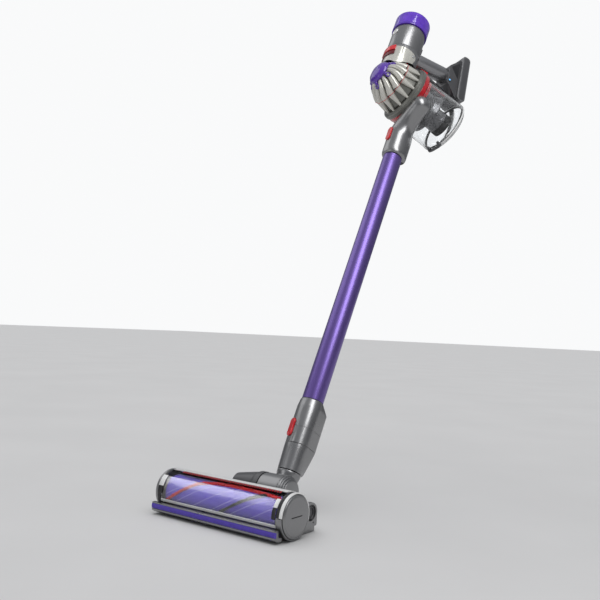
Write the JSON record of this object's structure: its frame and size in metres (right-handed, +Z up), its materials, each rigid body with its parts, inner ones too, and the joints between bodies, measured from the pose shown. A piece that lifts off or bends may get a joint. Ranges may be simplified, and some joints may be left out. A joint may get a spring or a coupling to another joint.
{
  "type": "cordless stick vacuum",
  "caption": "Cordless stick vacuum with a roller brush head, a long tubular wand and a hand-held motor, cyclone and clear bin unit.",
  "frame": {"origin": "centre of the flat pad of the sole plate behind the brush, on the floor", "axes": "+X along the brush bar to its round end cap, +Y to the rear of the brush head, +Z up; the wand leans back in the Y-Z plane"},
  "size_m": [0.25, 0.7193, 0.9713],
  "materials": {
    "satin_grey": "satin metallic moulded plastic, fine sparkle",
    "dark_grey": "dark grey moulded plastic with a soft sheen",
    "warm_grey": "light warm grey metallic moulded plastic",
    "ring_grey": "mid grey moulded plastic",
    "purple_clear": "translucent purple polycarbonate",
    "purple_aluminium": "purple anodised drawn tube",
    "purple_fabric": "short woven nylon pile",
    "red_plastic": "red moulded plastic",
    "dark_red": "dark red moulded plastic",
    "red_bristle": "red nylon bristles",
    "black_bristle": "black carbon fibre filaments",
    "clear": "clear polycarbonate",
    "black_plastic": "black moulded plastic",
    "black_rubber": "black rubber",
    "wheel_grey": "dark plastic wheel",
    "steel": "bright steel",
    "motor_alloy": "wound stator and motor can, mostly light metal",
    "filter_felt": "off-white filter felt",
    "board_green": "circuit board",
    "light_blue": "blue light lens"
  },
  "bodies": {
    "handheld": {"motor_body_shell": "satin_grey", "motor_rubber_mount": "black_rubber", "motor_stator": "motor_alloy", "cyclone_collar": "warm_grey", "collar_screw": "steel", "cyclone_pack": "warm_grey", "cyclone_ring": "ring_grey", "cyclone_red_band": "red_plastic", "shroud": "dark_grey", "fine_dust_tube": "black_plastic", "bin": "clear", "bin_rail": "satin_grey", "bin_door_pin": "steel", "inlet_duct": "satin_grey", "contact_block": "black_plastic", "handle_left": "dark_grey", "handle_right": "dark_grey", "trigger_switch": "black_plastic", "control_board": "board_green", "battery_case": "dark_grey", "battery_base": "dark_grey", "battery_cells": "steel", "status_light": "light_blue"},
    "post_filter": {"post_filter_cap": "purple_clear", "post_filter_pleats": "filter_felt"},
    "pre_filter": {"pre_filter_knob": "purple_clear", "pre_filter_sleeve": "filter_felt"},
    "bin_door": {"bin_door": "clear", "bin_door_seal": "black_rubber"},
    "bin_lever": {"bin_release_lever": "red_plastic"},
    "push_rod": {"release_push_rod": "dark_red"},
    "trigger": {"trigger": "red_plastic"},
    "mode_slider": {"mode_slider": "dark_grey"},
    "wand_button": {"wand_release_button": "red_plastic"},
    "rotor": {"motor_rotor": "steel", "impeller": "dark_grey"},
    "wand": {"wand_tube": "purple_aluminium", "wand_spigot": "dark_grey", "wand_collar": "satin_grey"},
    "head_button": {"head_release_button": "red_plastic"},
    "neck": {"neck_sleeve": "satin_grey"},
    "elbow": {"elbow_saddle": "satin_grey"},
    "head": {"brush_housing": "satin_grey", "brush_window": "clear", "comb_bar": "satin_grey", "front_rail": "satin_grey", "front_felt": "purple_fabric", "sole_plate": "dark_grey", "end_ring": "black_plastic", "left_end_cap": "satin_grey", "brush_motor": "motor_alloy", "pivot_drum_left": "dark_grey", "pivot_drum_right": "satin_grey"},
    "brush_bar": {"brush_core": "purple_fabric", "bristle_row_red": "red_bristle", "bristle_row_black": "black_bristle"},
    "end_cap": {"right_end_cap": "satin_grey", "brush_bearing": "steel"},
    "left_wheel": {"rear_wheel_left": "wheel_grey"},
    "right_wheel": {"rear_wheel_right": "wheel_grey"}
  },
  "joints": [
    {"name": "post_filter_pull", "type": "slide", "parent": "handheld", "child": "post_filter", "axis": [0, 0.4587, 0.8886], "range_m": [0, 0.04]},
    {"name": "pre_filter_pull", "type": "slide", "parent": "handheld", "child": "pre_filter", "axis": [-0.4295, -0.7681, 0.4749], "range_m": [0, 0.07]},
    {"name": "bin_door_hinge", "type": "hinge", "parent": "handheld", "child": "bin_door", "pos_m": [0.03784, 0.51699, 0.68003], "axis": [-0.9026, 0.3826, -0.1975], "range_deg": [0, 95]},
    {"name": "bin_lever_slide", "type": "slide", "parent": "handheld", "child": "bin_lever", "axis": [0, 0.4587, 0.8886], "range_m": [0, 0.02]},
    {"name": "push_rod_slide", "type": "slide", "parent": "handheld", "child": "push_rod", "axis": [0.4295, 0.7681, -0.4749], "range_m": [0, 0.006]},
    {"name": "trigger_pull", "type": "slide", "parent": "handheld", "child": "trigger", "axis": [-0.1041, 0.251, 0.9624], "range_m": [0, 0.005], "stiffness_N_per_m": 300, "springref_m": -0.002},
    {"name": "mode_slide", "type": "slide", "parent": "handheld", "child": "mode_slider", "axis": [0, 0.4587, 0.8886], "range_m": [0, 0.006]},
    {"name": "wand_button_press", "type": "slide", "parent": "handheld", "child": "wand_button", "axis": [0.4305, 0.8021, -0.414], "range_m": [0, 0.001], "stiffness_N_per_m": 600, "springref_m": -0.001},
    {"name": "rotor_spin", "type": "hinge", "parent": "handheld", "child": "rotor", "pos_m": [-0.02307, 0.48301, 0.89261], "axis": [0, 0.4587, 0.8886], "continuous": true},
    {"name": "wand_pull", "type": "slide", "parent": "handheld", "child": "wand", "axis": [0, -0.4587, -0.8886], "range_m": [0, 0.05]},
    {"name": "head_button_press", "type": "slide", "parent": "wand", "child": "head_button", "axis": [0.4305, 0.8021, -0.414], "range_m": [0, 0.001], "stiffness_N_per_m": 600, "springref_m": -0.001},
    {"name": "neck_pull", "type": "slide", "parent": "wand", "child": "neck", "axis": [0, -0.4587, -0.8886], "range_m": [0, 0.048]},
    {"name": "elbow_swivel", "type": "hinge", "parent": "neck", "child": "elbow", "pos_m": [0, 0.10642, 0.05751], "axis": [0, 0.4587, 0.8886], "range_deg": [-95, 45]},
    {"name": "head_pitch", "type": "hinge", "parent": "elbow", "child": "head", "pos_m": [0, 0.073, 0.032], "axis": [1, 0, 0], "range_deg": [-25, 45]},
    {"name": "brush_spin", "type": "hinge", "parent": "head", "child": "brush_bar", "pos_m": [0, -0.04, 0.033], "axis": [1, 0, 0], "continuous": true},
    {"name": "end_cap_turn", "type": "hinge", "parent": "head", "child": "end_cap", "pos_m": [0.121, -0.04, 0.033], "axis": [1, 0, 0], "range_deg": [0, 90]},
    {"name": "left_wheel_spin", "type": "hinge", "parent": "head", "child": "left_wheel", "pos_m": [-0.089, 0.006, 0.0134], "axis": [1, 0, 0], "continuous": true},
    {"name": "right_wheel_spin", "type": "hinge", "parent": "head", "child": "right_wheel", "pos_m": [0.089, 0.006, 0.0134], "axis": [1, 0, 0], "continuous": true}
  ],
  "couplings": [
    {"joint": "push_rod_slide", "follows": "bin_lever_slide", "ratio": 0.3}
  ]
}
